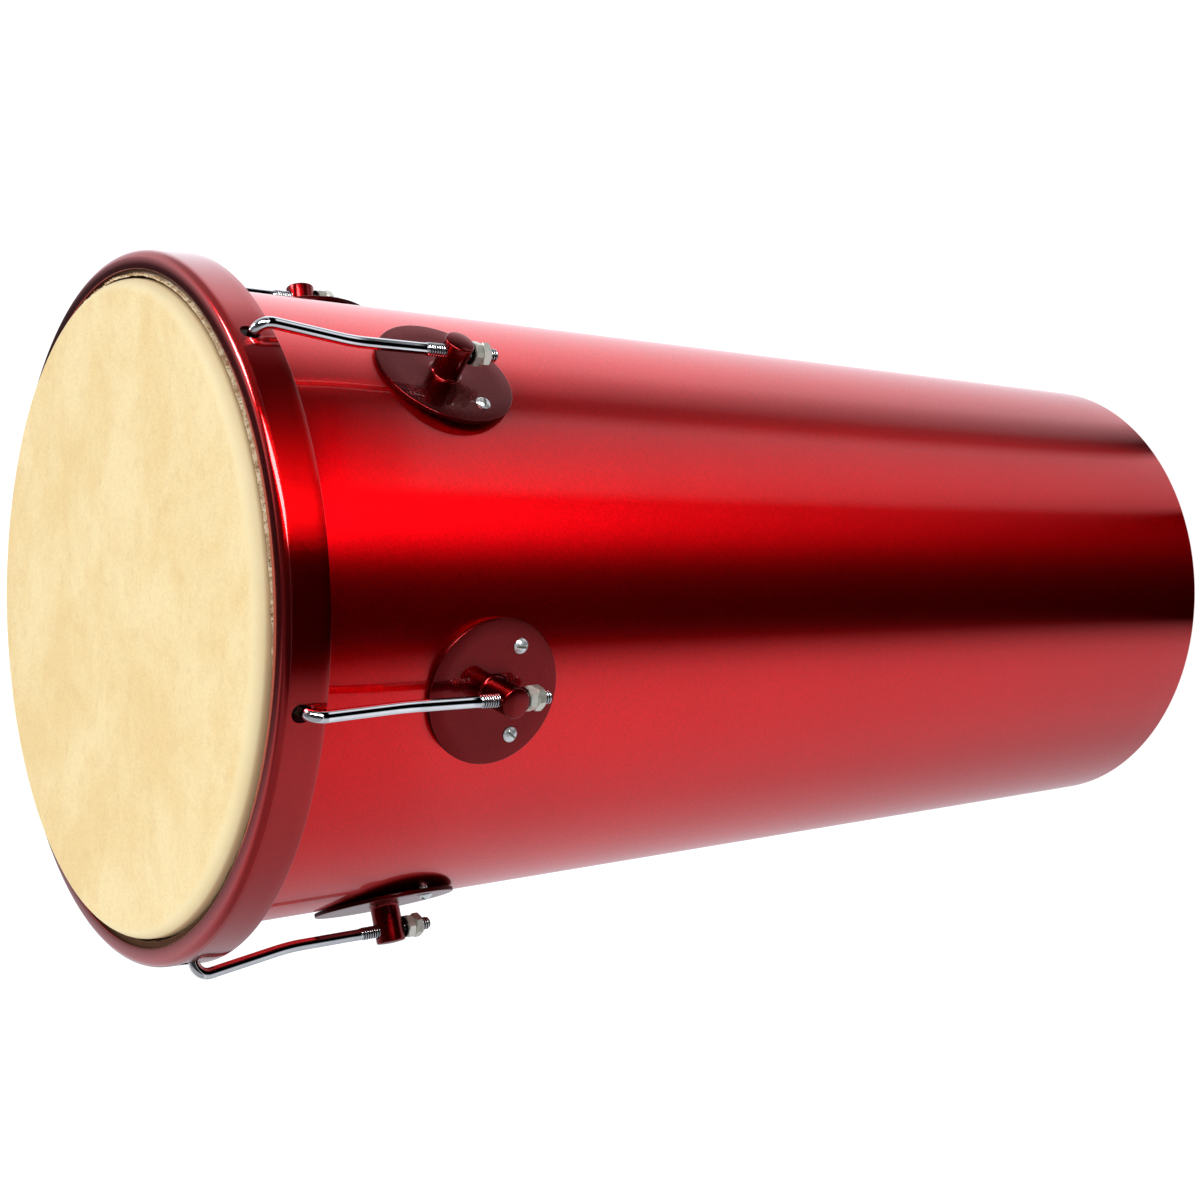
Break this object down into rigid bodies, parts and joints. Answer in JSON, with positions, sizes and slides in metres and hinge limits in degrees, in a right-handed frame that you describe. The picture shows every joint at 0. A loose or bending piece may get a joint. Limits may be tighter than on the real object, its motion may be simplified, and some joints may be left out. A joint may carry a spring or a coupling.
{
  "type": "rebolo drum",
  "caption": "Conical hand drum with a metal shell open at its narrow end, one hide head, and a counter hoop pulled down by hooked tension rods on round lugs.",
  "frame": {"origin": "centre of the shell's open end, on the surface it stands on", "axes": "+Z along the drum's axis, from the open end to the playing head; -Y through the first lug"},
  "size_m": [0.334, 0.3506, 0.6],
  "materials": {
    "candy_red_lacquer": "metallic candy-red lacquer under a clear coat, on aluminium",
    "natural_hide": "natural animal hide, scraped, satin",
    "chromed_rod": "bright chrome plate on steel",
    "nickelled_nut": "satin nickel plate on steel",
    "zinc_screw": "zinc plate on steel",
    "dark_washer": "blackened steel",
    "wire_steel": "plain steel wire"
  },
  "bodies": {
    "shell": {"shell": "candy_red_lacquer", "drum_skin": "natural_hide", "skin_collar": "natural_hide", "lug_1": "candy_red_lacquer", "seat_washer_1": "dark_washer", "lug_screw_1a": "zinc_screw", "lug_screw_1b": "zinc_screw", "screw_nut_1a": "zinc_screw", "screw_nut_1b": "zinc_screw", "lug_2": "candy_red_lacquer", "seat_washer_2": "dark_washer", "lug_screw_2a": "zinc_screw", "lug_screw_2b": "zinc_screw", "screw_nut_2a": "zinc_screw", "screw_nut_2b": "zinc_screw", "lug_3": "candy_red_lacquer", "seat_washer_3": "dark_washer", "lug_screw_3a": "zinc_screw", "lug_screw_3b": "zinc_screw", "screw_nut_3a": "zinc_screw", "screw_nut_3b": "zinc_screw", "lug_4": "candy_red_lacquer", "seat_washer_4": "dark_washer", "lug_screw_4a": "zinc_screw", "lug_screw_4b": "zinc_screw", "screw_nut_4a": "zinc_screw", "screw_nut_4b": "zinc_screw", "lug_5": "candy_red_lacquer", "seat_washer_5": "dark_washer", "lug_screw_5a": "zinc_screw", "lug_screw_5b": "zinc_screw", "screw_nut_5a": "zinc_screw", "screw_nut_5b": "zinc_screw", "lug_6": "candy_red_lacquer", "seat_washer_6": "dark_washer", "lug_screw_6a": "zinc_screw", "lug_screw_6b": "zinc_screw", "screw_nut_6a": "zinc_screw", "screw_nut_6b": "zinc_screw"},
    "hoop": {"counter_hoop": "candy_red_lacquer", "flesh_ring": "wire_steel", "skin_tuck": "natural_hide"},
    "rod_1": {"tension_rod_1": "chromed_rod"},
    "nuts_1": {"tension_nut_1": "nickelled_nut", "lock_nut_1": "nickelled_nut"},
    "rod_2": {"tension_rod_2": "chromed_rod"},
    "nuts_2": {"tension_nut_2": "nickelled_nut", "lock_nut_2": "nickelled_nut"},
    "rod_3": {"tension_rod_3": "chromed_rod"},
    "nuts_3": {"tension_nut_3": "nickelled_nut", "lock_nut_3": "nickelled_nut"},
    "rod_4": {"tension_rod_4": "chromed_rod"},
    "nuts_4": {"tension_nut_4": "nickelled_nut", "lock_nut_4": "nickelled_nut"},
    "rod_5": {"tension_rod_5": "chromed_rod"},
    "nuts_5": {"tension_nut_5": "nickelled_nut", "lock_nut_5": "nickelled_nut"},
    "rod_6": {"tension_rod_6": "chromed_rod"},
    "nuts_6": {"tension_nut_6": "nickelled_nut", "lock_nut_6": "nickelled_nut"}
  },
  "joints": [
    {"name": "hoop_slide", "type": "slide", "parent": "shell", "child": "hoop", "axis": [0, 0, 1], "range_m": [-0.006, 0.003], "deforming": ["skin_collar"]},
    {"name": "rod_1_slide", "type": "slide", "parent": "shell", "child": "rod_1", "axis": [0, -0.0549, 0.9985], "range_m": [-0.00601, 0.003]},
    {"name": "nuts_1_turn", "type": "hinge", "parent": "shell", "child": "nuts_1", "pos_m": [0, -0.1618, 0.47971], "axis": [0, -0.0549, 0.9985], "range_deg": [-855, 1705]},
    {"name": "rod_2_slide", "type": "slide", "parent": "shell", "child": "rod_2", "axis": [0.0476, -0.0275, 0.9985], "range_m": [-0.00601, 0.003]},
    {"name": "nuts_2_turn", "type": "hinge", "parent": "shell", "child": "nuts_2", "pos_m": [0.14012, -0.0809, 0.47971], "axis": [0.0476, -0.0275, 0.9985], "range_deg": [-855, 1705]},
    {"name": "rod_3_slide", "type": "slide", "parent": "shell", "child": "rod_3", "axis": [0.0476, 0.0275, 0.9985], "range_m": [-0.00601, 0.003]},
    {"name": "nuts_3_turn", "type": "hinge", "parent": "shell", "child": "nuts_3", "pos_m": [0.14012, 0.0809, 0.47971], "axis": [0.0476, 0.0275, 0.9985], "range_deg": [-855, 1705]},
    {"name": "rod_4_slide", "type": "slide", "parent": "shell", "child": "rod_4", "axis": [0, 0.0549, 0.9985], "range_m": [-0.00601, 0.003]},
    {"name": "nuts_4_turn", "type": "hinge", "parent": "shell", "child": "nuts_4", "pos_m": [0, 0.1618, 0.47971], "axis": [0, 0.0549, 0.9985], "range_deg": [-855, 1705]},
    {"name": "rod_5_slide", "type": "slide", "parent": "shell", "child": "rod_5", "axis": [-0.0476, 0.0275, 0.9985], "range_m": [-0.00601, 0.003]},
    {"name": "nuts_5_turn", "type": "hinge", "parent": "shell", "child": "nuts_5", "pos_m": [-0.14012, 0.0809, 0.47971], "axis": [-0.0476, 0.0275, 0.9985], "range_deg": [-855, 1705]},
    {"name": "rod_6_slide", "type": "slide", "parent": "shell", "child": "rod_6", "axis": [-0.0476, -0.0275, 0.9985], "range_m": [-0.00601, 0.003]},
    {"name": "nuts_6_turn", "type": "hinge", "parent": "shell", "child": "nuts_6", "pos_m": [-0.14012, -0.0809, 0.47971], "axis": [-0.0476, -0.0275, 0.9985], "range_deg": [-855, 1705]}
  ],
  "couplings": [
    {"joint": "rod_1_slide", "follows": "hoop_slide", "ratio": 1.0015},
    {"joint": "nuts_1_turn", "follows": "hoop_slide", "rad_per_m": -4954.9},
    {"joint": "rod_2_slide", "follows": "hoop_slide", "ratio": 1.0015},
    {"joint": "nuts_2_turn", "follows": "hoop_slide", "rad_per_m": -4954.9},
    {"joint": "rod_3_slide", "follows": "hoop_slide", "ratio": 1.0015},
    {"joint": "nuts_3_turn", "follows": "hoop_slide", "rad_per_m": -4954.9},
    {"joint": "rod_4_slide", "follows": "hoop_slide", "ratio": 1.0015},
    {"joint": "nuts_4_turn", "follows": "hoop_slide", "rad_per_m": -4954.9},
    {"joint": "rod_5_slide", "follows": "hoop_slide", "ratio": 1.0015},
    {"joint": "nuts_5_turn", "follows": "hoop_slide", "rad_per_m": -4954.9},
    {"joint": "rod_6_slide", "follows": "hoop_slide", "ratio": 1.0015},
    {"joint": "nuts_6_turn", "follows": "hoop_slide", "rad_per_m": -4954.9}
  ]
}
